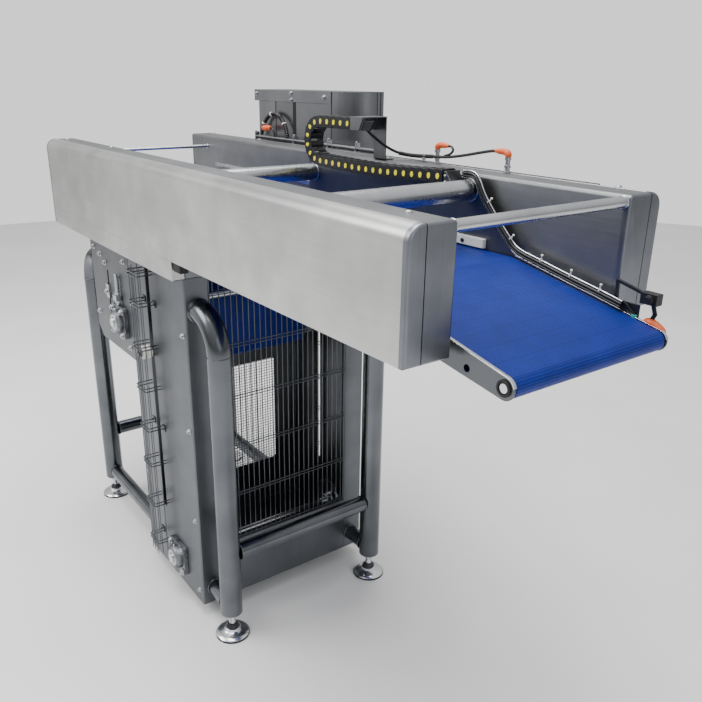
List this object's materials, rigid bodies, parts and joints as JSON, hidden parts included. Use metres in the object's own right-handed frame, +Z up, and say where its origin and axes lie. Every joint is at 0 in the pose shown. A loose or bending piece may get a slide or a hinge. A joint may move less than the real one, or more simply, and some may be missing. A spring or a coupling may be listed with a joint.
{
  "type": "retracting belt loader",
  "caption": "Belt loader whose nose slides out between two side beams, with a belt take-up tower on a tubular levelling stand.",
  "frame": {"origin": "bottom centre of the bounding box, on the floor plane under the machine", "axes": "+X towards the belt nose, +Y towards the side that carries the motor hood, +Z up"},
  "size_m": [2.034, 0.783, 1.504],
  "materials": {
    "brushed_steel": "brushed stainless sheet",
    "satin_steel": "satin stainless tube and sheet",
    "bright_steel": "bright turned stainless",
    "guard_wire": "electropolished round wire",
    "blue_belt": "moulded modular belt, fine raised texture",
    "black_plastic": "moulded nylon",
    "cast_metal": "fine cast housing"
  },
  "bodies": {
    "root": {"near_beam_channel": "satin_steel", "near_beam_cover": "brushed_steel", "far_beam_channel": "satin_steel", "far_beam_cover": "brushed_steel", "front_cross_tube": "satin_steel", "rear_tie_rod": "bright_steel", "near_front_leg": "satin_steel", "far_front_leg": "satin_steel", "near_rear_leg": "satin_steel", "far_rear_leg": "satin_steel", "near_side_rail": "satin_steel", "far_side_rail": "satin_steel", "front_rail": "satin_steel", "rear_rail": "satin_steel", "near_tower_side": "satin_steel", "far_tower_side": "satin_steel", "front_apron": "satin_steel", "front_mesh": "guard_wire", "rear_guard": "satin_steel", "near_gusset": "satin_steel", "far_gusset": "satin_steel", "near_slot_guard": "guard_wire", "far_slot_guard": "guard_wire", "near_chain_bearing": "cast_metal", "far_chain_bearing": "cast_metal", "near_drive_bearing": "cast_metal", "far_drive_bearing": "cast_metal", "near_takeup_chain": "cast_metal", "far_takeup_chain": "cast_metal", "belt_rear": "blue_belt", "cable_carrier_upper": "black_plastic", "carrier_post": "brushed_steel", "sensor_cable": "black_plastic", "motor_hood": "brushed_steel", "shuttle_gearmotor": "cast_metal"},
    "shuttle": {"near_shuttle_side": "satin_steel", "far_shuttle_side": "satin_steel", "middle_cross_tube": "satin_steel", "rear_cross_tube": "satin_steel", "slider_bed": "satin_steel", "carrier_tow_arm": "brushed_steel", "cable_carrier_lower": "black_plastic", "cable_channel": "black_plastic", "belt_front": "blue_belt"},
    "nose_roller": {"nose_roller": "bright_steel"},
    "carrier_loop": {"cable_carrier_loop": "black_plastic"},
    "takeup": {"takeup_axle": "bright_steel", "belt_takeup_loop": "blue_belt"},
    "takeup_drum": {"takeup_drum": "satin_steel"},
    "lower_chain_shaft": {"lower_chain_shaft": "bright_steel"},
    "upper_chain_shaft": {"upper_chain_shaft": "bright_steel"},
    "front_turn_roller": {"front_turn_roller": "satin_steel"},
    "over_roller": {"over_roller": "satin_steel"},
    "rear_turn_roller": {"rear_turn_roller": "satin_steel"},
    "tail_roller": {"tail_roller": "satin_steel"},
    "drive_roller": {"drive_roller": "bright_steel"},
    "near_front_foot": {"near_front_foot": "bright_steel"},
    "far_front_foot": {"far_front_foot": "bright_steel"},
    "near_rear_foot": {"near_rear_foot": "bright_steel"},
    "far_rear_foot": {"far_rear_foot": "bright_steel"}
  },
  "joints": [
    {"name": "shuttle_slide", "type": "slide", "parent": "root", "child": "shuttle", "axis": [1, 0, 0], "range_m": [-0.45, 0], "deforming": ["belt_front", "cable_carrier_lower"]},
    {"name": "carrier_loop_slide", "type": "slide", "parent": "root", "child": "carrier_loop", "axis": [1, 0, 0], "range_m": [-0.23, 0], "deforming": ["cable_carrier_upper"]},
    {"name": "takeup_slide", "type": "slide", "parent": "root", "child": "takeup", "axis": [0, 0, 1], "range_m": [-0.45, 0], "deforming": ["belt_takeup_loop"]},
    {"name": "lower_shaft_spin", "type": "hinge", "parent": "root", "child": "lower_chain_shaft", "pos_m": [-0.16096, -0.0485, 0.14], "axis": [0, 1, 0], "range_deg": [-330, 0]},
    {"name": "upper_shaft_spin", "type": "hinge", "parent": "root", "child": "upper_chain_shaft", "pos_m": [-0.16096, -0.0485, 0.96], "axis": [0, 1, 0], "range_deg": [-330, 0]},
    {"name": "drive_spin", "type": "hinge", "parent": "root", "child": "drive_roller", "pos_m": [-0.49396, -0.0485, 0.82], "axis": [0, 1, 0], "continuous": true},
    {"name": "nose_spin", "type": "hinge", "parent": "shuttle", "child": "nose_roller", "pos_m": [0.99604, -0.0485, 1.089], "axis": [0, 1, 0], "continuous": true},
    {"name": "front_turn_spin", "type": "hinge", "parent": "root", "child": "front_turn_roller", "pos_m": [-0.16416, -0.0485, 1.0971], "axis": [0, 1, 0], "continuous": true},
    {"name": "drum_spin", "type": "hinge", "parent": "takeup", "child": "takeup_drum", "pos_m": [-0.25896, -0.0485, 0.79], "axis": [0, 1, 0], "continuous": true},
    {"name": "over_spin", "type": "hinge", "parent": "root", "child": "over_roller", "pos_m": [-0.37976, -0.0485, 1.075], "axis": [0, 1, 0], "continuous": true},
    {"name": "rear_turn_spin", "type": "hinge", "parent": "root", "child": "rear_turn_roller", "pos_m": [-0.58216, -0.0485, 1.0971], "axis": [0, 1, 0], "continuous": true},
    {"name": "tail_spin", "type": "hinge", "parent": "root", "child": "tail_roller", "pos_m": [-0.89896, -0.0485, 1.153], "axis": [0, 1, 0], "continuous": true},
    {"name": "near_front_foot_screw", "type": "slide", "parent": "root", "child": "near_front_foot", "axis": [0, 0, 1], "range_m": [-0.03, 0.02]},
    {"name": "near_rear_foot_screw", "type": "slide", "parent": "root", "child": "near_rear_foot", "axis": [0, 0, 1], "range_m": [-0.03, 0.02]},
    {"name": "far_front_foot_screw", "type": "slide", "parent": "root", "child": "far_front_foot", "axis": [0, 0, 1], "range_m": [-0.03, 0.02]},
    {"name": "far_rear_foot_screw", "type": "slide", "parent": "root", "child": "far_rear_foot", "axis": [0, 0, 1], "range_m": [-0.03, 0.02]}
  ],
  "couplings": [
    {"joint": "carrier_loop_slide", "follows": "shuttle_slide", "ratio": 0.5},
    {"joint": "takeup_slide", "follows": "shuttle_slide", "ratio": 1},
    {"joint": "lower_shaft_spin", "follows": "shuttle_slide", "rad_per_m": 12.5},
    {"joint": "upper_shaft_spin", "follows": "shuttle_slide", "rad_per_m": 12.5},
    {"joint": "nose_spin", "follows": "drive_spin", "ratio": 3.2805},
    {"joint": "front_turn_spin", "follows": "drive_spin", "ratio": -1.5639},
    {"joint": "drum_spin", "follows": "drive_spin", "ratio": 0.89073},
    {"joint": "over_spin", "follows": "drive_spin", "ratio": -0.89073},
    {"joint": "rear_turn_spin", "follows": "drive_spin", "ratio": -1.5639},
    {"joint": "tail_spin", "follows": "drive_spin", "ratio": 2.5023}
  ]
}
